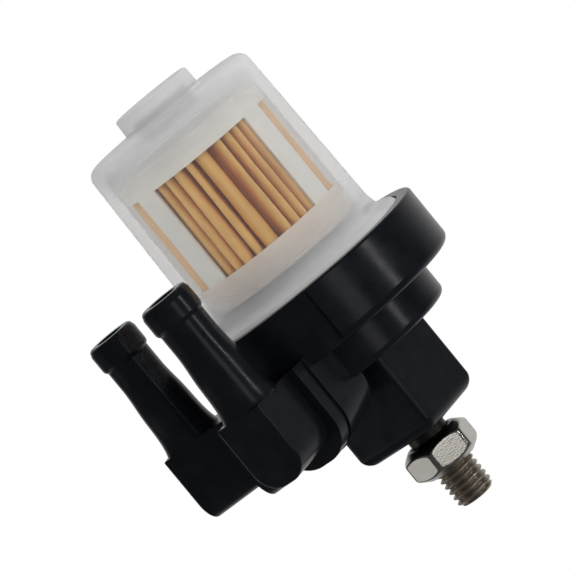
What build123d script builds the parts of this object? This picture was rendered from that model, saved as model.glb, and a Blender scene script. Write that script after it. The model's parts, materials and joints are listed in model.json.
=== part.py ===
from build123d import *
from math import cos, radians, sin, sqrt
import os

# In-line fuel filter for a small engine: black nylon head on an M8 stud, two hose
# elbows, a clear screw-on bowl and a pleated-paper element.
#
# Frame: +Z runs along the stud, away from the bowl.  The origin is the centre of the
# head's square end face, where the stud comes out and the bracket sits.

# ---- driving dimensions, mm ----

# Head
BLOCK_SIDE = 18.8            # square block under the bracket
BLOCK_TURN = 38.0            # direction of one block face about Z, degrees
BLOCK_TOP_ROUND = 2.5
NECK_R = 19.05
NECK_Z = -17.1               # step from neck to block
FLANGE_R = 25.75
FLANGE_BACK_Z = -24.15       # face of the flange on the stud side
FLANGE_RIM_Z = -35.9         # open rim of the flange, on the bowl side
CEILING_Z = -26.3            # roof of the bowl recess
RECESS_R = 22.9
LEDGE_R = 19.2               # ring that presses on the bowl seal
LEDGE_Z = -32.55
COLLAR_R = 15.9              # inner collar that centres the bowl
COLLAR_BORE_R = 13.5
COLLAR_Z = -38.8
NOTCH_ANGLE = 4.9            # shallow notch down the flange's rim
NOTCH_WIDTH = 3.5
NOTCH_DEPTH = 0.45
NOTCH_SLOPE = 0.7
SPIGOT_R = 4.5               # outlet spigot in the middle of the head
SPIGOT_Z = -37.8
PASSAGE_R = 2.8

# Stud and nut, M8
STUD_R = 4.0
STUD_END_Z = 16.2
SHANK_END_Z = 2.15           # plain shank under the bracket, then a run-out groove
THREAD_START_Z = 2.8
GROOVE_R = 3.3
THREAD_CREST_R = 3.97
STUD_HEAD_Z = -12.6          # buried hexagon head
STUD_HEAD_THICK = 4.0
STUD_HEAD_FLATS = 12.0
STUD_CHAMFER = 0.8
SHOULDER_R = 4.6             # moulded-in shoulder, flush with the bracket face
NUT_FLATS = 13.0
NUT_THICK = 6.5
NUT_Z = 2.2                  # gap of bare stud below the nut
NUT_TURN = 19.0              # direction of one nut corner about Z, degrees
NUT_BORE_R = 4.05
NUT_CORNER_ROUND = 0.8

# Ports and elbows
JOINT_R = 26.1               # plane where an elbow meets its port boss
PLATE_THICK = 3.5
PLATE_HALF = 7.2
PLATE_DROP = 2.8             # plate stands this far past the arm on the stud side
PLATE_CORNER = 6.0
BOSS_HALF = 7.6
BOSS_END_R = 13.2            # inner end of a boss, under the neck
BOSS_SLOPE = 1.6             # how far its stud side drops towards that end
BOSS_ROUND = 1.8
PASSAGE_LEVEL = -21.1        # passages inside the neck
ARM_HALF = 5.4
ARM_HEIGHT = 14.7
ARM_CORNER = 4.5
NIPPLE_REACH = 36.2          # nipple axis from the filter's axis
ARM_END = 5.6                # end face past the nipple axis
NIPPLE_LENGTH = 24.3         # from the arm to the tip
NIPPLE_R = 4.55
NIPPLE_FLARE_R = 5.9         # where the nipple grows out of the arm
BEAD_R = 5.08
BEAD_LENGTH = 5.0
PLUG_R = 4.9                 # elbow plug inside the port boss
PLUG_LENGTH = 6.0
PORT_SEAL_WIRE = 1.6
# name, direction about Z in degrees, level of the arm's flat side
PORTS = {"inlet": (35.5, -26.7), "outlet": (110.0, -24.0)}

# Bowl
KNOB_R = 8.2
KNOB_Z = -78.75
BOWL_END_Z = -74.55
BOWL_END_R = 18.15
BOWL_MOUTH_R = 18.95
BOWL_ROUND = 2.3
BOWL_FLOOR_Z = -72.4
BOWL_BORE_END_R = 16.2
BOWL_BORE_R = 16.5
LIP_Z = -36.3
THREAD_R = 22.6
THREAD_BORE_R = 19.6
THREAD_TOP_Z = -27.9
SEAT_Z = -34.85              # step that carries the bowl seal
SEAL_RING_R = 18.0
SEAL_WIRE_R = 1.1

# Element
CAP_R = 15.8
CAP_WALL = 0.5
CAP_THICK = 1.6
WINDOW_END_Z = -65.3
WINDOW_HEAD_Z = -45.0
CAP_HEAD_Z = -39.7
CAP_END_Z = -69.5
RIB_ANGLES = (51.0, 129.0, 231.0, 309.0)
RIB_SPAN = 19.5
NECK_TUBE_R = 7.6
NECK_TUBE_BORE_R = 6.2
NECK_TUBE_Z = -33.3
POTTING_THICK = 1.0
PAPER_R = 15.25
PAPER_INNER_R = 9.0
PLEATS = 36
PLEAT_SHIFT = 1.4            # radial distance between the two faces of the paper
TUBE_R = 8.8
TUBE_BORE_R = 8.0
TUBE_HOLE_R = 1.1
TUBE_HOLE_ROWS = 6
TUBE_HOLES_ROUND = 10
GROMMET_FLANGE = 1.2

OVER = 1.0                   # cutters run this far past what they cut

os.makedirs("parts", exist_ok=True)


def ring(outer_r, inner_r, z_low, z_high):
    """A plain ring on the filter's axis."""
    height = z_high - z_low
    body = Pos(0, 0, (z_low + z_high) / 2) * Cylinder(outer_r, height)
    return body - Pos(0, 0, (z_low + z_high) / 2) * Cylinder(inner_r, height + 2 * OVER)


def disc(radius, z_low, z_high):
    """A plain disc on the filter's axis."""
    return Pos(0, 0, (z_low + z_high) / 2) * Cylinder(radius, z_high - z_low)


def turned(points):
    """A solid of revolution from an outline of (radius, z) points."""
    outline = Polyline(*[(r, 0, z) for r, z in points], close=True)
    return revolve(make_face(outline), Axis.Z, 360)


def radial_plane(angle, reach):
    """A plane across a port: local x is sideways, local y is +Z."""
    a = radians(angle)
    return Plane(
        origin=(reach * cos(a), reach * sin(a), 0),
        x_dir=(-sin(a), cos(a), 0),
        z_dir=(cos(a), sin(a), 0),
    )


def d_face(angle, reach, half, z_flat, z_round, corner):
    """A D outline: flat towards the bowl, rounded corners towards the stud."""
    middle = (z_flat + z_round) / 2
    sketch = Pos(0, middle) * Rectangle(2 * half, z_round - z_flat)
    top = sketch.vertices().group_by(Axis.Y)[-1]
    return radial_plane(angle, reach) * fillet(top, corner)


def radial_rod(angle, radius, start, end, z):
    """A round rod along a port's direction."""
    plane = radial_plane(angle, start)
    return extrude(plane * Pos(0, z) * Circle(radius), end - start)


def at_port(angle, reach, z=0.0):
    """A place along a port's direction."""
    a = radians(angle)
    return Pos(reach * cos(a), reach * sin(a), z)


def port_level(flat_z):
    """Height of a port's passage."""
    return flat_z + ARM_HEIGHT / 2


def hexagon(across_flats, z_low, z_high, corner_angle):
    """A hexagonal prism on the filter's axis."""
    face = RegularPolygon(across_flats / 2, 6, major_radius=False)
    return Pos(0, 0, z_low) * Rot(0, 0, corner_angle) * extrude(face, z_high - z_low)


# ---- head ----

def port_boss(angle, flat_z):
    """Stub under the flange that carries an elbow, with a rounded inner end."""
    round_z = flat_z + ARM_HEIGHT + PLATE_DROP
    outer = d_face(angle, JOINT_R, BOSS_HALF, flat_z, round_z, PLATE_CORNER)
    inner = d_face(angle, BOSS_END_R, BOSS_HALF, flat_z, round_z - BOSS_SLOPE, PLATE_CORNER)
    boss = loft([inner, outer])
    along = Axis(at_port(angle, 0).position, radial_plane(angle, 0).z_dir)
    end = boss.faces().sort_by(along)[0]
    return fillet(end.edges().sort_by(Axis.Z)[1:], BOSS_ROUND)


def flange_notch():
    """Cutter for a shallow notch with sloping sides, the full height of the flange."""
    floor_r = FLANGE_R - NOTCH_DEPTH
    half = NOTCH_WIDTH / 2
    outline = Polyline(
        (floor_r, -half + NOTCH_SLOPE),
        (floor_r, half - NOTCH_SLOPE),
        (FLANGE_R + OVER, half + NOTCH_SLOPE),
        (FLANGE_R + OVER, -half - NOTCH_SLOPE),
        close=True,
    )
    height = FLANGE_BACK_Z - FLANGE_RIM_Z + 2 * OVER
    return Rot(0, 0, NOTCH_ANGLE) * Pos(0, 0, FLANGE_RIM_Z - OVER) * extrude(make_face(outline), height)


def head_body():
    flange = disc(FLANGE_R, FLANGE_RIM_Z, FLANGE_BACK_Z)
    flange = fillet(flange.edges().sort_by(Axis.Z)[-1], 1.6)
    flange = fillet(flange.edges().sort_by(Axis.Z)[0], 0.6)
    neck = disc(NECK_R, CEILING_Z, NECK_Z)
    neck = fillet(neck.edges().sort_by(Axis.Z)[-1], 1.3)
    block = Rot(0, 0, BLOCK_TURN) * Pos(0, 0, NECK_Z / 2) * Box(BLOCK_SIDE, BLOCK_SIDE, -NECK_Z)
    block = fillet(block.edges().filter_by(Axis.Z), 1.0)
    block = fillet(block.faces().sort_by(Axis.Z)[-1].edges(), BLOCK_TOP_ROUND)
    root = Rot(0, 0, BLOCK_TURN) * Pos(0, 0, NECK_Z - 2) * Box(BLOCK_SIDE - 2, BLOCK_SIDE - 2, 6)
    head = flange - flange_notch() + neck + block + root
    for angle, flat_z in PORTS.values():
        head += port_boss(angle, flat_z)
    head -= disc(RECESS_R, FLANGE_RIM_Z - OVER, CEILING_Z)
    head += ring(LEDGE_R, COLLAR_BORE_R, LEDGE_Z, CEILING_Z)
    head += ring(COLLAR_R, COLLAR_BORE_R, COLLAR_Z, LEDGE_Z)
    head += disc(SPIGOT_R, SPIGOT_Z, CEILING_Z)
    for name, (angle, flat_z) in PORTS.items():
        start = 8.0 if name == "inlet" else 0.0
        cavity = JOINT_R - PLUG_LENGTH - PORT_SEAL_WIRE
        head -= radial_rod(angle, PASSAGE_R, start, cavity + OVER / 2, PASSAGE_LEVEL)
        head -= radial_rod(angle, PLUG_R + 0.05, cavity, JOINT_R + OVER, port_level(flat_z))
    head -= disc(PASSAGE_R, SPIGOT_Z - OVER, PASSAGE_LEVEL)
    drop = PASSAGE_LEVEL - CEILING_Z + OVER
    head -= at_port(PORTS["inlet"][0], 10.7, PASSAGE_LEVEL - drop / 2) * Cylinder(2.4, drop)
    return head - stud_blank()


def stud_blank():
    """Buried head and shoulder of the stud, as the head is moulded around them."""
    head = hexagon(STUD_HEAD_FLATS, STUD_HEAD_Z, STUD_HEAD_Z + STUD_HEAD_THICK, BLOCK_TURN)
    return head + disc(SHOULDER_R, STUD_HEAD_Z, 0)


def mounting_stud():
    thread = disc(THREAD_CREST_R, THREAD_START_Z, STUD_END_Z)
    thread = chamfer(thread.edges().sort_by(Axis.Z)[-1], STUD_CHAMFER)
    shank = disc(STUD_R, -OVER, SHANK_END_Z)
    return stud_blank() + shank + disc(GROOVE_R, 0, THREAD_START_Z + OVER) + thread


def mounting_nut():
    top_z = NUT_Z + NUT_THICK
    corner_r = NUT_FLATS / sqrt(3)
    land_r = NUT_FLATS / 2 * 0.86
    bevel = (corner_r - land_r) * 0.62
    envelope = turned([
        (0, NUT_Z),
        (land_r, NUT_Z),
        (corner_r, NUT_Z + bevel),
        (corner_r, top_z - bevel),
        (land_r, top_z),
        (0, top_z),
    ])
    prism = hexagon(NUT_FLATS, NUT_Z, top_z, NUT_TURN)
    nut = fillet(prism.edges().filter_by(Axis.Z), NUT_CORNER_ROUND) & envelope
    nut -= disc(NUT_BORE_R, NUT_Z - OVER, top_z + OVER)
    rims = nut.edges().filter_by(GeomType.CIRCLE).filter_by(
        lambda e: abs(e.radius - NUT_BORE_R) < 0.01)
    return chamfer(rims, 0.45)


# ---- elbows ----

def nipple_blank():
    """Solid hose nipple, pointing down: beaded tip, plain neck, flare into the arm."""
    tip = -NIPPLE_LENGTH
    bead_end = tip + BEAD_LENGTH
    flare = Spline(
        (NIPPLE_R, 0, bead_end + 4.5),
        (NIPPLE_R + 0.45, 0, bead_end + 10.5),
        (NIPPLE_FLARE_R, 0, 0.0),
        tangents=[(0, 0, 1), (0.35, 0, 1)],
    )
    outline = Polyline(
        (NIPPLE_FLARE_R, 0, 0.0),
        (NIPPLE_FLARE_R - 0.15, 0, 0.35),
        (ARM_HALF - 0.1, 0, 1.0),
        (0, 0, 1.0),
        (0, 0, tip),
        (BEAD_R - 0.75, 0, tip),
        (BEAD_R - 0.35, 0, tip + 0.25),
        (BEAD_R, 0, tip + 1.2),
        (BEAD_R, 0, bead_end - 0.5),
        (BEAD_R - 0.12, 0, bead_end - 0.1),
        (NIPPLE_R, 0, bead_end + 0.35),
        (NIPPLE_R, 0, bead_end + 4.5),
    )
    return revolve(make_face(Wire([*flare.edges(), *outline.edges()])), Axis.Z, 360)


def elbow(angle, flat_z):
    """Plug, joint plate, arm and hose nipple of one elbow."""
    round_z = flat_z + ARM_HEIGHT
    level = port_level(flat_z)
    plate_face = d_face(angle, JOINT_R, PLATE_HALF, flat_z, round_z + PLATE_DROP, PLATE_CORNER)
    plate = extrude(plate_face, PLATE_THICK)
    end_reach = NIPPLE_REACH + ARM_END
    arm_face = d_face(angle, JOINT_R + 1.0, ARM_HALF, flat_z, round_z, ARM_CORNER)
    arm = extrude(arm_face, end_reach - JOINT_R - 1.0)
    body = plate + arm
    end = body.faces().sort_by(Axis(at_port(angle, 0).position, radial_plane(angle, 0).z_dir))[-1]
    body = fillet(end.edges(), 0.5)
    body += radial_rod(angle, PLUG_R, JOINT_R - PLUG_LENGTH, JOINT_R + 0.5, level)
    body += at_port(angle, NIPPLE_REACH, flat_z) * nipple_blank()
    bore_low = flat_z - NIPPLE_LENGTH - OVER
    bore_height = level - bore_low
    middle = bore_low + bore_height / 2
    body -= at_port(angle, NIPPLE_REACH, middle) * Cylinder(PASSAGE_R, bore_height)
    return body - radial_rod(angle, PASSAGE_R, JOINT_R - PLUG_LENGTH - OVER, NIPPLE_REACH, level)


def port_seal(angle, flat_z):
    """O-ring at the bottom of a port, ahead of the elbow's plug."""
    wire_r = PORT_SEAL_WIRE / 2 - 0.02
    mean_r = PLUG_R - wire_r
    plane = radial_plane(angle, JOINT_R - PLUG_LENGTH - PORT_SEAL_WIRE / 2)
    return plane.location * Pos(0, port_level(flat_z), 0) * Torus(mean_r, wire_r)


# ---- bowl ----

def bowl():
    wall = turned([
        (0, BOWL_END_Z),
        (BOWL_END_R, BOWL_END_Z),
        (BOWL_MOUTH_R, LIP_Z - 3.7),
        (BOWL_MOUTH_R + 0.3, LIP_Z - 1.8),
        (BOWL_MOUTH_R + 0.9, LIP_Z - 0.9),
        (THREAD_R - 0.8, LIP_Z - 0.3),
        (THREAD_R - 0.3, LIP_Z + 0.1),
        (THREAD_R, LIP_Z + 0.5),
        (THREAD_R, THREAD_TOP_Z - 0.5),
        (THREAD_R - 0.5, THREAD_TOP_Z),
        (0, THREAD_TOP_Z),
    ])
    wall = fillet(wall.edges().sort_by(Axis.Z)[0], BOWL_ROUND)
    knob = disc(KNOB_R, KNOB_Z, BOWL_END_Z + OVER)
    knob = fillet(knob.edges().sort_by(Axis.Z)[0], 0.5)
    hollow = turned([
        (0, BOWL_FLOOR_Z),
        (BOWL_BORE_END_R, BOWL_FLOOR_Z),
        (BOWL_BORE_R, SEAT_Z),
        (THREAD_BORE_R, SEAT_Z),
        (THREAD_BORE_R, THREAD_TOP_Z + OVER),
        (0, THREAD_TOP_Z + OVER),
    ])
    hollow = fillet(hollow.edges().sort_by(Axis.Z)[0], 1.4)
    core = disc(KNOB_R - 2.2, KNOB_Z + 2.4, BOWL_FLOOR_Z + OVER)
    return wall + knob - hollow - core


def bowl_seal():
    return Pos(0, 0, SEAT_Z + SEAL_WIRE_R + 0.05) * Torus(SEAL_RING_R, SEAL_WIRE_R)


# ---- element ----

def element_frame():
    """Head-end cap with its neck, and the ribs that stand over the paper."""
    frame = disc(CAP_R, CAP_HEAD_Z - CAP_THICK, CAP_HEAD_Z)
    frame += ring(CAP_R, CAP_R - CAP_WALL, WINDOW_HEAD_Z, CAP_HEAD_Z)
    frame += disc(NECK_TUBE_R, CAP_HEAD_Z - CAP_THICK, NECK_TUBE_Z)
    frame -= disc(NECK_TUBE_BORE_R, CAP_HEAD_Z - CAP_THICK - OVER, NECK_TUBE_Z + OVER)
    sleeve = ring(CAP_R, CAP_R - CAP_WALL, WINDOW_END_Z, CAP_HEAD_Z)
    reach = CAP_R + OVER
    for angle in RIB_ANGLES:
        half = radians(RIB_SPAN / 2)
        wedge = Polyline(
            (0, 0),
            (reach * cos(half) * 1.1, -reach * sin(half) * 1.1),
            (reach * cos(half) * 1.1, reach * sin(half) * 1.1),
            close=True,
        )
        cutter = extrude(make_face(wedge), CAP_HEAD_Z - WINDOW_END_Z)
        frame += sleeve & (Rot(0, 0, angle) * Pos(0, 0, WINDOW_END_Z) * cutter)
    return frame


def element_end_cap():
    cap = disc(CAP_R, CAP_END_Z, WINDOW_END_Z)
    cap = fillet(cap.edges().sort_by(Axis.Z)[0], 0.6)
    return cap - disc(CAP_R - CAP_WALL, CAP_END_Z + CAP_THICK, WINDOW_END_Z + OVER)


def potting_end():
    low = CAP_END_Z + CAP_THICK
    return disc(CAP_R - CAP_WALL, low, low + POTTING_THICK)


def potting_head():
    high = CAP_HEAD_Z - CAP_THICK
    return ring(CAP_R - CAP_WALL, TUBE_BORE_R, high - POTTING_THICK, high)


PAPER_LOW_Z = CAP_END_Z + CAP_THICK + POTTING_THICK
PAPER_HIGH_Z = CAP_HEAD_Z - CAP_THICK - POTTING_THICK


def zigzag(outer_r, inner_r):
    """A closed star outline, one point out and one in for each pleat."""
    step = 360 / PLEATS
    points = []
    for i in range(PLEATS):
        out = radians(i * step)
        back = radians((i + 0.5) * step)
        points.append((outer_r * cos(out), outer_r * sin(out)))
        points.append((inner_r * cos(back), inner_r * sin(back)))
    return make_face(Polyline(*points, close=True))


def pleated_paper():
    sheet = zigzag(PAPER_R, PAPER_INNER_R + PLEAT_SHIFT)
    sheet -= zigzag(PAPER_R - PLEAT_SHIFT, PAPER_INNER_R)
    return Pos(0, 0, PAPER_LOW_Z) * extrude(sheet, PAPER_HIGH_Z - PAPER_LOW_Z)


def centre_tube():
    tube = ring(TUBE_R, TUBE_BORE_R, PAPER_LOW_Z, PAPER_HIGH_Z)
    pitch = (PAPER_HIGH_Z - PAPER_LOW_Z) / TUBE_HOLE_ROWS
    for row in range(TUBE_HOLE_ROWS):
        z = PAPER_LOW_Z + (row + 0.5) * pitch
        for i in range(TUBE_HOLES_ROUND):
            angle = (i + 0.5 * (row % 2)) * 360 / TUBE_HOLES_ROUND
            tube -= radial_rod(angle, TUBE_HOLE_R, TUBE_BORE_R - OVER, TUBE_R + OVER, z)
    return tube


def element_grommet():
    """Rubber sleeve in the element's neck, gripping the outlet spigot."""
    sleeve = disc(NECK_TUBE_BORE_R, CAP_HEAD_Z + 0.4, NECK_TUBE_Z)
    flange = disc(NECK_TUBE_R - 0.1, NECK_TUBE_Z, NECK_TUBE_Z + GROMMET_FLANGE)
    bore = disc(SPIGOT_R + 0.05, CAP_HEAD_Z - OVER, NECK_TUBE_Z + GROMMET_FLANGE + OVER)
    return sleeve + flange - bore


nodes = {
    "head_body": head_body(),
    "mounting_stud": mounting_stud(),
    "mounting_nut": mounting_nut(),
    "bowl": bowl(),
    "bowl_seal": bowl_seal(),
    "element_frame": element_frame(),
    "element_end_cap": element_end_cap(),
    "potting_end": potting_end(),
    "potting_head": potting_head(),
    "pleated_paper": pleated_paper(),
    "centre_tube": centre_tube(),
    "element_grommet": element_grommet(),
}
for port, (port_angle, port_flat_z) in PORTS.items():
    nodes[port + "_elbow"] = elbow(port_angle, port_flat_z)
    nodes[port + "_port_seal"] = port_seal(port_angle, port_flat_z)

for name, shape in nodes.items():
    export_step(shape, f"parts/{name}.step")
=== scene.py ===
"""Looks for the fuel filter: materials, threads, paper, light and camera."""
import json
import math
import random

import bmesh
import bpy
from mathutils import Matrix, Vector


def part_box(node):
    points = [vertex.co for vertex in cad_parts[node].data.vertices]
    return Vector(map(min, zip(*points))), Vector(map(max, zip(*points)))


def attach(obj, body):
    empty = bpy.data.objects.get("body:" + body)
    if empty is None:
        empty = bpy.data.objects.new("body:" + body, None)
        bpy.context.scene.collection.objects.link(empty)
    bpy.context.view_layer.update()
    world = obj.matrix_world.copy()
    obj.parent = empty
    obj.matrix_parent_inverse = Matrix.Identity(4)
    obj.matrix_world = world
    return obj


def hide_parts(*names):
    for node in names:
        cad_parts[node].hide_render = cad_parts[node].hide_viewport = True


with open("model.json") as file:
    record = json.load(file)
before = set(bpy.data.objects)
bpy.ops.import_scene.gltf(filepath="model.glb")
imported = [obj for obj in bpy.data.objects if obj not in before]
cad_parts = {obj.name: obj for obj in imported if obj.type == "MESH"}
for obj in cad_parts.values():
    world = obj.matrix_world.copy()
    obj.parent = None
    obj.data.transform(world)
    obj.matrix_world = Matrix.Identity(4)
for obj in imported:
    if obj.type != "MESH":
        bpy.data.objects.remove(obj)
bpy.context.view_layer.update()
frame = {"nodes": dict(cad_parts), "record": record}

MM = 0.001
TAU = 2 * math.pi


# ---- material helpers ----

MOTTLE_LOW = 0.3       # most of a noise lies between these two levels
MOTTLE_HIGH = 0.7
WHITE = (1, 1, 1)


def new_material(name, color, roughness, metallic=0.0):
    """A Principled material with its constant values on the shader's own sockets."""
    material = bpy.data.materials.new(name)
    material.use_nodes = True
    shader = material.node_tree.nodes["Principled BSDF"]
    shader.inputs["Base Color"].default_value = (*color, 1)
    shader.inputs["Roughness"].default_value = roughness
    shader.inputs["Metallic"].default_value = metallic
    return material, material.node_tree, shader


def object_noise(tree, scale, detail=4.0, stretch=(1, 1, 1)):
    """Noise in object coordinates; scale is in features per metre."""
    coords = tree.nodes.new("ShaderNodeTexCoord")
    mapping = tree.nodes.new("ShaderNodeMapping")
    mapping.inputs["Scale"].default_value = stretch
    noise = tree.nodes.new("ShaderNodeTexNoise")
    noise.inputs["Scale"].default_value = scale
    noise.inputs["Detail"].default_value = detail
    tree.links.new(coords.outputs["Object"], mapping.inputs["Vector"])
    tree.links.new(mapping.outputs["Vector"], noise.inputs["Vector"])
    return noise.outputs["Fac"]


def ramp(tree, source, stops):
    """A colour ramp from (position, colour) stops."""
    node = tree.nodes.new("ShaderNodeValToRGB")
    first, *between, last = stops
    for element, (position, color) in zip(node.color_ramp.elements, (first, last)):
        element.position = position
        element.color = (*color, 1)
    for position, color in between:
        node.color_ramp.elements.new(position).color = (*color, 1)
    tree.links.new(source, node.inputs["Fac"])
    return node.outputs["Color"]


def greys(*stops):
    """Ramp stops from (position, level) pairs."""
    return [(position, (level, level, level)) for position, level in stops]


def mottled(tree, noise, dark, light):
    """A colour that wanders between two with a noise."""
    return ramp(tree, noise, [(MOTTLE_LOW, dark), (MOTTLE_HIGH, light)])


def map_range(tree, source, from_low, from_high, low, high, interpolation="LINEAR"):
    """Maps from_low..from_high to low..high, held at both ends."""
    node = tree.nodes.new("ShaderNodeMapRange")
    node.interpolation_type = interpolation
    node.inputs["From Min"].default_value = from_low
    node.inputs["From Max"].default_value = from_high
    node.inputs["To Min"].default_value = low
    node.inputs["To Max"].default_value = high
    tree.links.new(source, node.inputs["Value"])
    return node.outputs["Result"]


def spread(tree, source, low, high):
    """Maps most of a noise to low..high."""
    return map_range(tree, source, MOTTLE_LOW, MOTTLE_HIGH, low, high)


def object_level(tree, low, high):
    """0 to 1 as the object's own Z goes from low to high."""
    coords = tree.nodes.new("ShaderNodeTexCoord")
    split = tree.nodes.new("ShaderNodeSeparateXYZ")
    tree.links.new(coords.outputs["Object"], split.inputs["Vector"])
    return map_range(tree, split.outputs["Z"], low, high, 0, 1)


def object_radius(tree, low, high):
    """0 to 1 as the distance from the filter's axis goes from low to high."""
    coords = tree.nodes.new("ShaderNodeTexCoord")
    flat = tree.nodes.new("ShaderNodeVectorMath")
    flat.operation = "MULTIPLY"
    flat.inputs[1].default_value = (1, 1, 0)
    length = tree.nodes.new("ShaderNodeVectorMath")
    length.operation = "LENGTH"
    tree.links.new(coords.outputs["Object"], flat.inputs[0])
    tree.links.new(flat.outputs["Vector"], length.inputs[0])
    return map_range(tree, length.outputs["Value"], low, high, 0, 1)


def multiply(tree, first, second):
    """Product of two colours."""
    mix = tree.nodes.new("ShaderNodeMix")
    mix.data_type = "RGBA"
    mix.blend_type = "MULTIPLY"
    mix.inputs["Factor"].default_value = 1.0
    tree.links.new(first, mix.inputs["A"])
    tree.links.new(second, mix.inputs["B"])
    return mix.outputs["Result"]


def bump(tree, shader, height, distance, strength):
    """Small relief, distance in metres."""
    node = tree.nodes.new("ShaderNodeBump")
    node.inputs["Distance"].default_value = distance
    node.inputs["Strength"].default_value = strength
    tree.links.new(height, node.inputs["Height"])
    tree.links.new(node.outputs["Normal"], shader.inputs["Normal"])


# ---- materials ----

PAPER_FOLD_SHADE_R = 12.4 * MM      # the paper goes from painted brown shade down in its folds to its own tan outside
PAPER_OWN_TAN_R = 15.0 * MM
MILKY_LOW_Z = -79 * MM         # the bowl's milkiness is set between these levels
MILKY_HIGH_Z = -27 * MM
SKIRT_LOW_Z = -45.6 * MM       # the element's skirt is stained above this level
SKIRT_HIGH_Z = -44.6 * MM
NUT_SHADE_LOW_Z = 2.4 * MM         # the steel has painted shade below the nut
NUT_SHADE_HIGH_Z = 3.2 * MM
ROOT_DARK_R = 3.3 * MM         # the steel is browned with dirt in the thread roots
ROOT_CLEAN_R = 3.9 * MM
STUD_RADIUS = 4.1 * MM         # the stud is rougher than the nut
NUT_RADIUS = 5.0 * MM


def black_nylon():
    """Smooth, slightly glossy moulded nylon."""
    material, tree, shader = new_material("black_nylon", (0.006, 0.007, 0.009), 0.3)
    shader.inputs["Specular IOR Level"].default_value = 0.3
    cloud = object_noise(tree, 260, 5)
    color = ramp(tree, cloud, [
        (0.35, (0.0055, 0.0068, 0.0094)),
        (0.65, (0.0075, 0.009, 0.0125)),
    ])
    tree.links.new(color, shader.inputs["Base Color"])
    tree.links.new(spread(tree, cloud, 0.19, 0.26), shader.inputs["Roughness"])
    bump(tree, shader, object_noise(tree, 1500, 3), 0.00003, 0.22)
    return material


def milky_plastic():
    """Thin natural plastic, clearest round the paper and milky in its thick end and collar."""
    material, tree, shader = new_material("milky_plastic", (0.77, 0.775, 0.78), 0.25)
    shader.inputs["IOR"].default_value = 1.01
    shader.inputs["Coat Weight"].default_value = 0.04
    shader.inputs["Coat Roughness"].default_value = 0.18
    along = object_level(tree, MILKY_LOW_Z, MILKY_HIGH_Z)
    clear = ramp(tree, along, greys(
        (0.0, 0.55), (0.12, 0.66), (0.24, 0.95), (0.64, 0.95), (0.75, 0.7), (0.84, 0.25), (1.0, 0.2)))
    facing = tree.nodes.new("ShaderNodeLayerWeight")
    facing.inputs["Blend"].default_value = 0.6
    slant = ramp(tree, facing.outputs["Facing"], greys((0.0, 1), (0.22, 0.97), (0.5, 0.85), (1.0, 0.78)))
    tree.links.new(multiply(tree, clear, slant), shader.inputs["Transmission Weight"])
    color = mottled(tree, object_noise(tree, 120, 3), (0.735, 0.74, 0.745), (0.77, 0.77, 0.77))
    tree.links.new(color, shader.inputs["Base Color"])
    bump(tree, shader, object_noise(tree, 500, 2), 0.00002, 0.25)
    return material


def white_plastic():
    """Satin off-white plastic with a stained skirt."""
    material, tree, shader = new_material("white_plastic", (0.83, 0.8, 0.75), 0.42)
    color = mottled(tree, object_noise(tree, 180, 4), (0.87, 0.835, 0.765), (0.93, 0.895, 0.825))
    skirt = object_level(tree, SKIRT_LOW_Z, SKIRT_HIGH_Z)
    stain = ramp(tree, skirt, [(0.0, WHITE), (1.0, (0.98, 0.87, 0.8))])
    tree.links.new(multiply(tree, color, stain), shader.inputs["Base Color"])
    bump(tree, shader, object_noise(tree, 1800, 2), 0.00002, 0.4)
    return material


def filter_paper():
    """Resin-treated paper: tan on the outer folds, with painted brown shade down in the folds."""
    material, tree, shader = new_material("filter_paper", (0.62, 0.38, 0.16), 0.8)
    # painted shade: the paper's colour darkens to brown towards the inner folds
    fold_shade_color = ramp(tree, object_radius(tree, PAPER_FOLD_SHADE_R, PAPER_OWN_TAN_R), [
        (0.0, (0.78, 0.35, 0.1)),
        (0.5, (0.88, 0.43, 0.1)),
        (1.0, (0.97, 0.59, 0.195)),
    ])
    fibres = object_noise(tree, 700, 6, stretch=(1, 1, 0.3))
    shade = mottled(tree, fibres, (0.86, 0.83, 0.78), WHITE)
    tree.links.new(multiply(tree, fold_shade_color, shade), shader.inputs["Base Color"])
    bump(tree, shader, object_noise(tree, 3200, 4), 0.00005, 0.5)
    return material


def zinc_steel():
    """Zinc-plated steel, with painted shade below the nut and dirty in the thread roots."""
    material, tree, shader = new_material("zinc_steel", (0.66, 0.63, 0.58), 0.2, 1.0)
    cloud = object_noise(tree, 420, 5)
    color = mottled(tree, cloud, (0.6, 0.57, 0.52), (0.74, 0.71, 0.665))
    below_nut = object_level(tree, NUT_SHADE_LOW_Z, NUT_SHADE_HIGH_Z)
    # painted shade: the steel goes dark below the nut, in the gap above the head
    nut_shade = ramp(tree, below_nut, [(0.0, (0.1, 0.095, 0.09)), (1.0, WHITE)])
    in_roots = object_radius(tree, ROOT_DARK_R, ROOT_CLEAN_R)
    roots = ramp(tree, in_roots, [(0.0, (0.8, 0.69, 0.55)), (1.0, WHITE)])
    tree.links.new(multiply(tree, color, multiply(tree, nut_shade, roots)), shader.inputs["Base Color"])
    on_stud = object_radius(tree, STUD_RADIUS, NUT_RADIUS)
    worn = ramp(tree, on_stud, greys((0.0, 0.2), (1.0, 0)))
    rough = tree.nodes.new("ShaderNodeMath")
    rough.operation = "ADD"
    tree.links.new(spread(tree, cloud, 0.1, 0.24), rough.inputs[0])
    tree.links.new(worn, rough.inputs[1])
    tree.links.new(rough.outputs["Value"], shader.inputs["Roughness"])
    bump(tree, shader, object_noise(tree, 1600, 3, stretch=(1, 1, 3)), 0.00004, 0.6)
    return material


def black_rubber():
    """Matt nitrile rubber."""
    material, tree, shader = new_material("black_rubber", (0.014, 0.014, 0.015), 0.55)
    cloud = object_noise(tree, 700, 4)
    color = mottled(tree, cloud, (0.01, 0.01, 0.011), (0.02, 0.02, 0.021))
    tree.links.new(color, shader.inputs["Base Color"])
    tree.links.new(spread(tree, cloud, 0.48, 0.64), shader.inputs["Roughness"])
    bump(tree, shader, cloud, 0.00003, 0.3)
    return material


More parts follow.
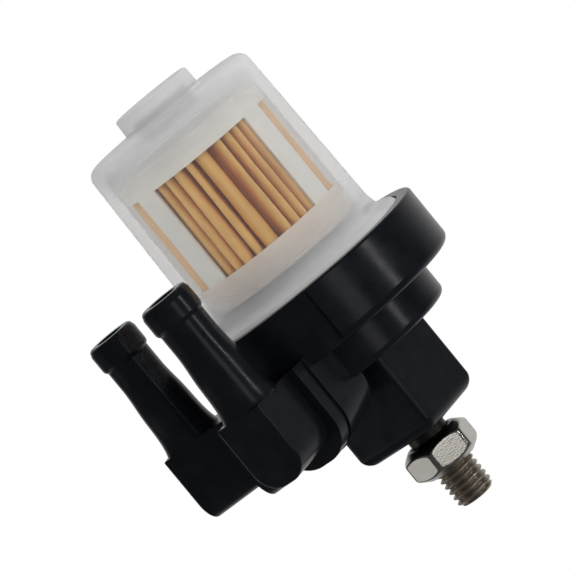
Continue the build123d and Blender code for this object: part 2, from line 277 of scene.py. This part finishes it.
def potting():
    """Cured adhesive."""
    material, tree, shader = new_material("potting", (0.72, 0.64, 0.44), 0.38)
    cloud = object_noise(tree, 320, 4)
    color = mottled(tree, cloud, (0.62, 0.53, 0.34), (0.76, 0.69, 0.5))
    tree.links.new(color, shader.inputs["Base Color"])
    bump(tree, shader, cloud, 0.0001, 0.3)
    return material


MATERIALS = {
    "black_nylon": black_nylon(),
    "clear_plastic": milky_plastic(),
    "white_plastic": white_plastic(),
    "filter_paper": filter_paper(),
    "zinc_steel": zinc_steel(),
    "black_rubber": black_rubber(),
    "potting": potting(),
}


def finish_cad_nodes():
    """Gives every CAD node the detailed material of its slot."""
    slots = {part["node"]: part["material_slot"] for part in frame["record"]["subparts"]}
    for name, node in frame["nodes"].items():
        node.data.materials.clear()
        node.data.materials.append(MATERIALS[slots[name]])


finish_cad_nodes()


# ---- mesh helpers, in millimetres ----

def rounded(corners, steps=6):
    """An open outline of (radius, z, fillet) corners, each fillet a tangent arc."""
    points = []
    for i, (r, z, fillet) in enumerate(corners):
        corner = Vector((r, z))
        if fillet == 0 or i in (0, len(corners) - 1):
            points.append((r, z))
            continue
        back = (Vector(corners[i - 1][:2]) - corner).normalized()
        on = (Vector(corners[i + 1][:2]) - corner).normalized()
        half = back.angle(on) / 2
        centre = corner + (back + on).normalized() * (fillet / math.sin(half))
        start = corner + back * (fillet / math.tan(half)) - centre
        turn = start.angle_signed(corner + on * (fillet / math.tan(half)) - centre)
        for k in range(steps + 1):
            part = turn * k / steps
            c, s = math.cos(part), math.sin(part)
            point = centre + Vector((start.x * c + start.y * s, start.y * c - start.x * s))
            points.append((point.x, point.y))
    return points


def join_rings(work, low, high):
    """Faces between two closed rings of as many corners; one ring may be a single point."""
    count = len(low)
    for k in range(count):
        n = (k + 1) % count
        corners = list(dict.fromkeys([low[k], low[n], high[n], high[k]]))
        if len(corners) > 2:
            work.faces.new(corners)


def turned_mesh(name, outline, segments, radius_at=None, closed=False):
    """A surface turned about Z. radius_at(r, z, angle) may change each point's radius."""
    mesh = bpy.data.meshes.new(name)
    work = bmesh.new()
    rings = []
    for r, z in outline:
        if r == 0:
            rings.append([work.verts.new((0, 0, z * MM))] * segments)
            continue
        ring = []
        for k in range(segments):
            angle = TAU * k / segments
            reach = radius_at(r, z, angle) if radius_at else r
            point = Vector((reach * math.cos(angle), reach * math.sin(angle), z))
            ring.append(work.verts.new(point * MM))
        rings.append(ring)
    pairs = list(zip(rings, rings[1:]))
    if closed:
        pairs.append((rings[-1], rings[0]))
    for low, high in pairs:
        join_rings(work, low, high)
    bmesh.ops.recalc_face_normals(work, faces=work.faces)
    work.to_mesh(mesh)
    work.free()
    return mesh


def level_points(r, low, high, rows):
    """Outline points at one radius, evenly from low to high."""
    return [(r, low + (high - low) * i / rows) for i in range(rows + 1)]


def add_piece(name, mesh, body, slot, sharp_degrees=32):
    """Puts a mesh in the scene as a smooth-shaded piece that rides on a body."""
    mesh.shade_smooth()
    mesh.set_sharp_from_angle(angle=math.radians(sharp_degrees))
    piece = bpy.data.objects.new(name, mesh)
    bpy.context.collection.objects.link(piece)
    mesh.materials.append(MATERIALS[slot])
    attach(piece, body)
    return piece


def clamp(value):
    """Holds a value between 0 and 1."""
    return min(max(value, 0), 1)


THREAD_ROOT = 0.1       # share of the pitch that is flat at the root
THREAD_FLANK = 0.72     # and share that the two flanks take
THREAD_SWELL = 0.85     # below 1, the flanks bulge


def thread_height(z, angle, pitch):
    """0 at the root and 1 at the crest of a right-handed thread."""
    phase = (z / pitch - angle / TAU) % 1.0
    rise = abs(2 * phase - 1)
    return clamp((rise - THREAD_ROOT) / THREAD_FLANK) ** THREAD_SWELL


def box_mm(node):
    """A CAD node's lowest and highest corners."""
    low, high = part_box(node)
    return Vector(low) / MM, Vector(high) / MM


# ---- stud ----

STUD_PITCH = 1.25
STUD_ROOT_R = 3.25
STUD_CREST_R = 3.97
STUD_TIP_R = 3.15           # where the end's chamfer starts
STUD_TOP_R = 3.0
SHANK_R = 4.0
SHANK_TOP = 2.15
GROOVE_R = 3.3
THREAD_START = 2.8
THREAD_EASE = 0.9           # the thread grows from the groove over this length
SHOULDER_R = 4.6
STUD_HEAD_LOW = -12.6
STUD_HEAD_TOP = -8.6
STUD_HEAD_FLATS = 12.0
STUD_HEAD_R = 6.0
BLOCK_TURN = 38.0


def hexagon_radius(across_flats, angle, corner_angle):
    """Distance from the axis to a hexagon's side, in one direction."""
    sector = math.radians(60)
    off = (angle - corner_angle) % sector - sector / 2
    return across_flats / 2 / math.cos(off)


def mounting_stud():
    """Stud with its hexagon head, shoulder, plain shank, groove and thread."""
    top = box_mm("mounting_stud")[1].z
    rows = int((top - THREAD_START) / STUD_PITCH * 14)
    outline = [(0, STUD_HEAD_LOW)]
    outline += [(STUD_HEAD_R, STUD_HEAD_LOW + 0.01), (STUD_HEAD_R, STUD_HEAD_TOP)]
    outline += rounded([
        (SHOULDER_R, STUD_HEAD_TOP, 0),
        (SHOULDER_R, -0.01, 0.15),
        (SHANK_R, 0, 0),
        (SHANK_R, SHANK_TOP, 0.2),
        (GROOVE_R, SHANK_TOP + 0.2, 0.25),
        (GROOVE_R, THREAD_START, 0),
    ], 4)
    outline += level_points(STUD_CREST_R, THREAD_START, top, rows)
    outline += [(STUD_TOP_R, top), (0, top)]
    head_turn = math.radians(BLOCK_TURN)

    def radius_at(r, z, angle):
        if z <= STUD_HEAD_TOP and r > SHOULDER_R:
            return hexagon_radius(STUD_HEAD_FLATS, angle, head_turn)
        if r != STUD_CREST_R:
            return r
        ease = min((z - THREAD_START) / THREAD_EASE, 1)
        root = GROOVE_R + (STUD_ROOT_R - GROOVE_R) * ease
        crest = root + (STUD_CREST_R - root) * ease
        reach = root + (crest - root) * thread_height(z, angle, STUD_PITCH)
        return min(reach, STUD_TIP_R + top - z)

    mesh = turned_mesh("stud_thread", outline, 96, radius_at)
    piece = add_piece("stud_thread", mesh, "head", "zinc_steel", 50)
    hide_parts("mounting_stud")


mounting_stud()


# ---- nut ----

NUT_FLATS = 13.0
NUT_TURN = 19.0
NUT_BORE_R = 4.04
NUT_ROOT_R = 4.5
NUT_MOUTH_R = 4.54          # the bore's mouth, outside its chamfer
NUT_BORE_CHAMFER = 0.4
NUT_EDGE_R = 1.35           # rounding of the six edges
NUT_FACE_R = 5.2            # flat round face at each end
NUT_CONE_SLOPE = 1.45       # of the end chamfers, radius over height
NUT_DOME_BLEND = 1.0        # how softly the chamfer turns into the sides
NUT_SIDE_BLEND = 0.3


def smooth_min(a, b, width):
    """The smaller of two, rounded where they meet."""
    part = clamp(0.5 + (b - a) / (2 * width))
    return b + (a - b) * part - width * part * (1 - part)


def rounded_hexagon_radius(across_flats, edge_r, angle, corner_angle):
    """Distance from the axis to the side of a hexagon with rounded corners."""
    apothem = across_flats / 2
    sector = math.radians(60)
    off = abs((angle - corner_angle) % sector - sector / 2)
    tangent = math.atan((apothem - edge_r) * math.tan(sector / 2) / apothem)
    if off < tangent:
        return apothem / math.cos(off)
    centre = (apothem - edge_r) / math.cos(sector / 2)
    turn = sector / 2 - off
    return centre * math.cos(turn) + math.sqrt(edge_r ** 2 - (centre * math.sin(turn)) ** 2)


def mounting_nut():
    """Chamfered nut with worn edges and a threaded bore."""
    low, high = box_mm("mounting_nut")
    bottom, top = low.z, high.z
    corner_r = NUT_FLATS / math.sqrt(3)
    outline = level_points(corner_r, bottom, top, 60)
    outline.append((NUT_MOUTH_R, top))
    outline += level_points(NUT_BORE_R, top - NUT_BORE_CHAMFER, bottom + NUT_BORE_CHAMFER, 70)
    outline.append((NUT_MOUTH_R, bottom))
    turn = math.radians(NUT_TURN)

    def radius_at(r, z, angle):
        if r == corner_r:
            cone = NUT_FACE_R + NUT_CONE_SLOPE * min(z - bottom, top - z)
            dome = smooth_min(cone, corner_r + 0.05, NUT_DOME_BLEND)
            side = rounded_hexagon_radius(NUT_FLATS, NUT_EDGE_R, angle, turn)
            return smooth_min(side, dome, NUT_SIDE_BLEND)
        if r == NUT_BORE_R:
            return NUT_BORE_R + (NUT_ROOT_R - NUT_BORE_R) * thread_height(z, angle, STUD_PITCH)
        return r

    mesh = turned_mesh("nut_body", outline, 300, radius_at, closed=True)
    piece = add_piece("nut_body", mesh, "nut", "zinc_steel", 40)
    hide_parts("mounting_nut")


mounting_nut()


# ---- bowl ----

BOWL_PITCH = 2.5
BOWL_ROOT_R = 21.75
BOWL_THREAD_EASE = 1.2      # the thread fades in and out over this length
COLLAR_CHAMFER = 0.6
KNOB_R = 8.2
KNOB_BORE_R = 6.0
KNOB_WALL = 2.4
BOWL_END_Z = -74.55
BOWL_END_R = 18.15
BOWL_MOUTH_R = 18.95
BOWL_FLOOR_Z = -72.4
BOWL_BORE_END_R = 16.2
BOWL_BORE_R = 16.5
LIP_Z = -36.3
SEAT_Z = -34.85
COLLAR_BORE_R = 19.6


def bowl_shell():
    """Bowl with its knob outside, threaded collar and stepped bore."""
    low, high = box_mm("bowl")
    knob_z, top, thread_r = low.z, high.z, high.x
    start = LIP_Z + 1.2
    end = top - COLLAR_CHAMFER
    rows = int((end - start) / BOWL_PITCH * 16)
    outline = [(0, knob_z)] + rounded([
        (2.0, knob_z, 0),
        (KNOB_R - 0.12, knob_z + 0.22, 0.55),
        (KNOB_R, BOWL_END_Z + 0.02, 0.7),
        (BOWL_END_R, BOWL_END_Z, 2.3),
        (BOWL_MOUTH_R, LIP_Z - 3.4, 3.0),
        (BOWL_MOUTH_R + 0.5, LIP_Z - 0.9, 1.3),
        (thread_r - 0.55, LIP_Z - 0.15, 0.35),
        (thread_r, LIP_Z + 0.6, 0.4),
        (thread_r, start, 0),
    ], 8)
    outline += level_points(thread_r, start, end, rows)[1:]
    outline += rounded([
        (thread_r, end, 0),
        (thread_r - COLLAR_CHAMFER, top, 0.2),
        (COLLAR_BORE_R + 0.2, top, 0.2),
        (COLLAR_BORE_R, end, 0.3),
        (COLLAR_BORE_R, SEAT_Z, 0.3),
        (BOWL_BORE_R, SEAT_Z, 0.25),
        (BOWL_BORE_END_R, BOWL_FLOOR_Z, 1.4),
        (KNOB_BORE_R, BOWL_FLOOR_Z, 0.5),
        (KNOB_BORE_R, knob_z + KNOB_WALL, 0.6),
        (1.0, knob_z + KNOB_WALL, 0),
    ], 6)[1:]
    outline.append((0, knob_z + KNOB_WALL))

    def radius_at(r, z, angle):
        if r != thread_r or z < start:
            return r
        ease = clamp(min(z - start, end - z) / BOWL_THREAD_EASE)
        return r - (thread_r - BOWL_ROOT_R) * ease * (1 - thread_height(z, angle, BOWL_PITCH))

    mesh = turned_mesh("bowl_shell", outline, 192, radius_at)
    piece = add_piece("bowl_shell", mesh, "bowl", "clear_plastic", 50)
    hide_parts("bowl")


bowl_shell()


HEAD_THREAD_CLEARANCE = 0.06
HEAD_THREAD_DEPTH = 0.24
HEAD_THREAD_LOW = SEAT_Z + 1.2
HEAD_THREAD_HIGH = SEAT_Z + 6.6
HEAD_THREAD_EASE = 0.8
HEAD_THREAD_SINK = 0.06     # how far the thread's back is behind its root


def head_thread():
    """Thread inside the head's recess, just clear of the bowl's crests."""
    crest = box_mm("bowl")[1].x + HEAD_THREAD_CLEARANCE
    root = crest + HEAD_THREAD_DEPTH
    wall = root + HEAD_THREAD_SINK
    low, high = HEAD_THREAD_LOW, HEAD_THREAD_HIGH
    rows = int((high - low) / BOWL_PITCH * 14)
    outline = level_points(crest, low, high, rows)
    outline += [(wall, high), (wall, low)]

    def radius_at(r, z, angle):
        if r == wall:
            return r
        ease = clamp(min(z - low, high - z) / HEAD_THREAD_EASE)
        return root - HEAD_THREAD_DEPTH * ease * thread_height(z, angle, BOWL_PITCH)

    mesh = turned_mesh("head_thread", outline, 192, radius_at, closed=True)
    add_piece("head_thread", mesh, "head", "black_nylon", 50)


head_thread()


# ---- pleated paper ----

PAPER_THICK = 0.32
PAPER_GAP = 0.02             # between the sheet and the ribs over it
PAPER_INNER_R = 9.05
PAPER_FOOT_R = PAPER_INNER_R + PAPER_THICK + 0.2
INNER_FOLD = 0.32            # half width of the tight inner folds
INNER_FOLD_RISE = 0.3
OUTER_FOLD_DROP = 0.85       # how far an outer fold falls off, over its half width
PAPER_LEVELS = 9
PAPER_WAVE = 0.012           # radians that the sheet sways half way up
FOLD_UNEVEN = 0.35           # some outer folds stop this far short
VALLEY_UNEVEN = 0.06         # and the inner ones are off centre by this share of a pleat
REAR_UNEVEN = 1.6            # degrees
# direction in degrees and half width of each front fold, as they settled
FRONT_PLEATS = (
    (-41.5, 0.55), (-33.2, 0.6), (-24.8, 0.6), (-16.0, 0.5), (-0.6, 1.3),
    (10.8, 0.5), (21.0, 0.85), (30.6, 0.6), (39.5, 0.5),
)
REAR_FOLD = 0.62
PLEAT_TOTAL = 36


def pleat_folds():
    """(angle, half width) of every fold: crowded and parted in front, an uneven spread behind."""
    shuffle = random.Random(7)
    count = PLEAT_TOTAL - len(FRONT_PLEATS)
    first, last = FRONT_PLEATS[-1][0], FRONT_PLEATS[0][0] + 360
    step = (last - first) / (count + 1)
    folds = list(FRONT_PLEATS)
    for i in range(count):
        folds.append((first + step * (i + 1) + shuffle.uniform(-REAR_UNEVEN, REAR_UNEVEN), REAR_FOLD))
    return [(math.radians(angle), fold) for angle, fold in folds]


def pleat_line(outer_r):
    """(angle, radius) along the middle of the folded sheet: round outer folds and tight inner ones."""
    shuffle = random.Random(11)
    folds = pleat_folds()
    tight = INNER_FOLD / PAPER_FOOT_R
    valley_r = PAPER_FOOT_R + INNER_FOLD_RISE
    middle_r = outer_r - PAPER_THICK / 2
    line = []
    for i, (angle, fold) in enumerate(folds):
        next_angle, next_fold = folds[(i + 1) % len(folds)]
        gap = (next_angle - angle) % TAU
        reach = middle_r - shuffle.uniform(0, FOLD_UNEVEN)
        span = fold / reach
        for k in range(-4, 5):
            part = k / 4
            line.append((angle + span * part, reach - fold * OUTER_FOLD_DROP * part * part))
        valley = angle + gap * (0.5 + shuffle.uniform(-VALLEY_UNEVEN, VALLEY_UNEVEN))
        start = angle + span
        end = angle + gap - next_fold / reach
        side_r = reach - fold * OUTER_FOLD_DROP
        next_side_r = middle_r - next_fold * OUTER_FOLD_DROP - 0.2
        for t in (0.3, 0.6):
            line.append((start + (valley - tight - start) * t, side_r + (valley_r - side_r) * t))
        for k in range(-2, 3):
            part = k / 2
            line.append((valley + tight * part, PAPER_FOOT_R + INNER_FOLD_RISE * part * part))
        for t in (0.4, 0.7):
            line.append((
                valley + tight + (end - valley - tight) * t,
                valley_r + (next_side_r - valley_r) * t,
            ))
    return line


def sheet_sides(line):
    """The two faces of the sheet, half its thickness either side of its middle."""
    points = [Vector((r * math.cos(a), r * math.sin(a))) for a, r in line]
    sides = ([], [])
    for i, point in enumerate(points):
        along = (points[(i + 1) % len(points)] - points[i - 1]).normalized()
        normal = Vector((along.y, -along.x)) * (PAPER_THICK / 2)
        sides[0].append(point + normal)
        sides[1].append(point - normal)
    return sides


def pleated_paper():
    """One folded sheet with a real thickness, swaying a little between its ends."""
    low, high = box_mm("pleated_paper")
    sides = sheet_sides(pleat_line(high.x - PAPER_GAP))
    mesh = bpy.data.meshes.new("paper_pleats")
    work = bmesh.new()
    stacks = []
    for level in range(PAPER_LEVELS):
        part = level / (PAPER_LEVELS - 1)
        z = low.z + (high.z - low.z) * part
        sway = PAPER_WAVE * math.sin(part * math.pi)
        rings = []
        for side in sides:
            ring = []
            for i, point in enumerate(side):
                wave = sway * math.sin(i * 0.37 + part * 3.0)
                c, s = math.cos(wave), math.sin(wave)
                swayed = Vector((point.x * c - point.y * s, point.x * s + point.y * c, z))
                ring.append(work.verts.new(swayed * MM))
            rings.append(ring)
        stacks.append(rings)
    for below, above in zip(stacks, stacks[1:]):
        join_rings(work, below[0], above[0])
        join_rings(work, below[1], above[1])
    for outer, inner in (stacks[0], stacks[-1]):
        join_rings(work, outer, inner)
    bmesh.ops.recalc_face_normals(work, faces=work.faces)
    work.to_mesh(mesh)
    work.free()
    piece = add_piece("paper_pleats", mesh, "element", "filter_paper", 60)
    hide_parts("pleated_paper")


pleated_paper()


# ---- camera, light and floor ----

CAMERA_TARGET = Vector((0, 2.85, -35.4)) * MM
CAMERA_DISTANCE = 780 * MM
CAMERA_ELEVATION = -5.7
CAMERA_LENS = 268.0
IMAGE_STUD = Vector((0.634, -0.773))     # the stud's direction in the image, right and up


def turn_to(right, up, back):
    """Rotation of a camera or light from its three axes."""
    return Matrix((right, up, back)).transposed().to_quaternion()


def add_camera():
    """Long lens, turned so that the stud points down to the right; returns the image's axes."""
    data = bpy.data.cameras.new("camera")
    camera = bpy.data.objects.new("camera", data)
    bpy.context.collection.objects.link(camera)
    data.lens = CAMERA_LENS
    data.clip_start = 0.01
    data.clip_end = 20
    elevation = math.radians(CAMERA_ELEVATION)
    back = Vector((math.cos(elevation), 0, math.sin(elevation)))
    stud = (Vector((0, 0, 1)) - back * back.z).normalized()
    side = stud.cross(back)
    right = stud * IMAGE_STUD.x + side * IMAGE_STUD.y
    up = stud * IMAGE_STUD.y - side * IMAGE_STUD.x
    camera.location = CAMERA_TARGET + back * CAMERA_DISTANCE
    camera.rotation_mode = "QUATERNION"
    camera.rotation_quaternion = turn_to(right, up, back)
    bpy.context.scene.camera = camera
    return right, up, back


VIEW_RIGHT, VIEW_UP, VIEW_BACK = add_camera()


def image_direction(direction):
    """A vector given as (right, up, towards the camera) in the image."""
    return VIEW_RIGHT * direction[0] + VIEW_UP * direction[1] + VIEW_BACK * direction[2]


def add_light(name, direction, size, radiance):
    """A soft rectangular light, sized (round, along) the filter, at a place in image axes."""
    data = bpy.data.lights.new(name, "AREA")
    data.shape = "RECTANGLE"
    data.size, data.size_y = size
    data.energy = radiance * math.pi * size[0] * size[1]
    light = bpy.data.objects.new(name, data)
    bpy.context.collection.objects.link(light)
    light.visible_camera = False
    way = image_direction(direction)
    light.location = CAMERA_TARGET + way
    back = way.normalized()
    along = (Vector((0, 0, 1)) - back * back.z).normalized()
    light.rotation_mode = "QUATERNION"
    light.rotation_quaternion = turn_to(along.cross(back), along, back)


add_light("key", (0.665, 0.546, 0.509), (0.05, 0.45), 10.5)
add_light("front", (0.32, 0.26, 1.02), (0.3, 0.7), 0.95)
add_light("left", (-0.185, -0.274, -0.045), (0.2, 0.13), 0.5)


def studio_glow(tree, direction, start, full, low, high):
    """Brightness that grows towards one direction in image axes."""
    coords = tree.nodes.new("ShaderNodeTexCoord")
    aim = tree.nodes.new("ShaderNodeVectorMath")
    aim.operation = "DOT_PRODUCT"
    aim.inputs[1].default_value = image_direction(direction).normalized()
    tree.links.new(coords.outputs["Generated"], aim.inputs[0])
    return map_range(tree, aim.outputs["Value"], start, full, low, high, "SMOOTHSTEP")


def add_world():
    """A pure white studio behind the filter, one glow for surfaces and another for reflections."""
    world = bpy.data.worlds.new("studio")
    world.use_nodes = True
    tree = world.node_tree
    white = tree.nodes["Background"]
    white.inputs["Color"].default_value = (1, 1, 1, 1)
    white.inputs["Strength"].default_value = 1.0
    soft = tree.nodes.new("ShaderNodeBackground")
    path = tree.nodes.new("ShaderNodeLightPath")
    choose = tree.nodes.new("ShaderNodeMix")
    lit = studio_glow(tree, (0.55, 0.75, -0.1), -0.35, 0.9, 0.62, 1.45)
    mirrored = studio_glow(tree, (0.2, 0.15, -1.0), 0.35, 1.0, 0.07, 0.75)
    tree.links.new(path.outputs["Is Glossy Ray"], choose.inputs["Factor"])
    tree.links.new(lit, choose.inputs["A"])
    tree.links.new(mirrored, choose.inputs["B"])
    tree.links.new(choose.outputs["Result"], soft.inputs["Strength"])
    seen = tree.nodes.new("ShaderNodeMath")
    seen.operation = "MAXIMUM"
    tree.links.new(path.outputs["Is Camera Ray"], seen.inputs[0])
    tree.links.new(path.outputs["Is Transmission Ray"], seen.inputs[1])
    mix = tree.nodes.new("ShaderNodeMixShader")
    tree.links.new(seen.outputs["Value"], mix.inputs["Fac"])
    tree.links.new(soft.outputs["Background"], mix.inputs[1])
    tree.links.new(white.outputs["Background"], mix.inputs[2])
    tree.links.new(mix.outputs["Shader"], tree.nodes["World Output"].inputs["Surface"])
    bpy.context.scene.world = world
    bpy.context.scene.view_settings.view_transform = "Standard"


add_world()


FLOOR_HALF = 6.0
FLOOR_Z = -0.45


def add_floor():
    """A plain white floor well below the filter."""
    mesh = bpy.data.meshes.new("floor")
    signs = ((-1, -1), (1, -1), (1, 1), (-1, 1))
    corners = [(x * FLOOR_HALF, y * FLOOR_HALF, FLOOR_Z) for x, y in signs]
    mesh.from_pydata(corners, [], [(0, 1, 2, 3)])
    floor = bpy.data.objects.new("floor", mesh)
    bpy.context.collection.objects.link(floor)
    material, _, shader = new_material("pale_floor", (0.93, 0.93, 0.93), 0.8)
    shader.inputs["Emission Color"].default_value = (1, 1, 1, 1)
    shader.inputs["Emission Strength"].default_value = 0.9
    mesh.materials.append(material)
    floor.visible_glossy = False
    floor.visible_diffuse = False


add_floor()
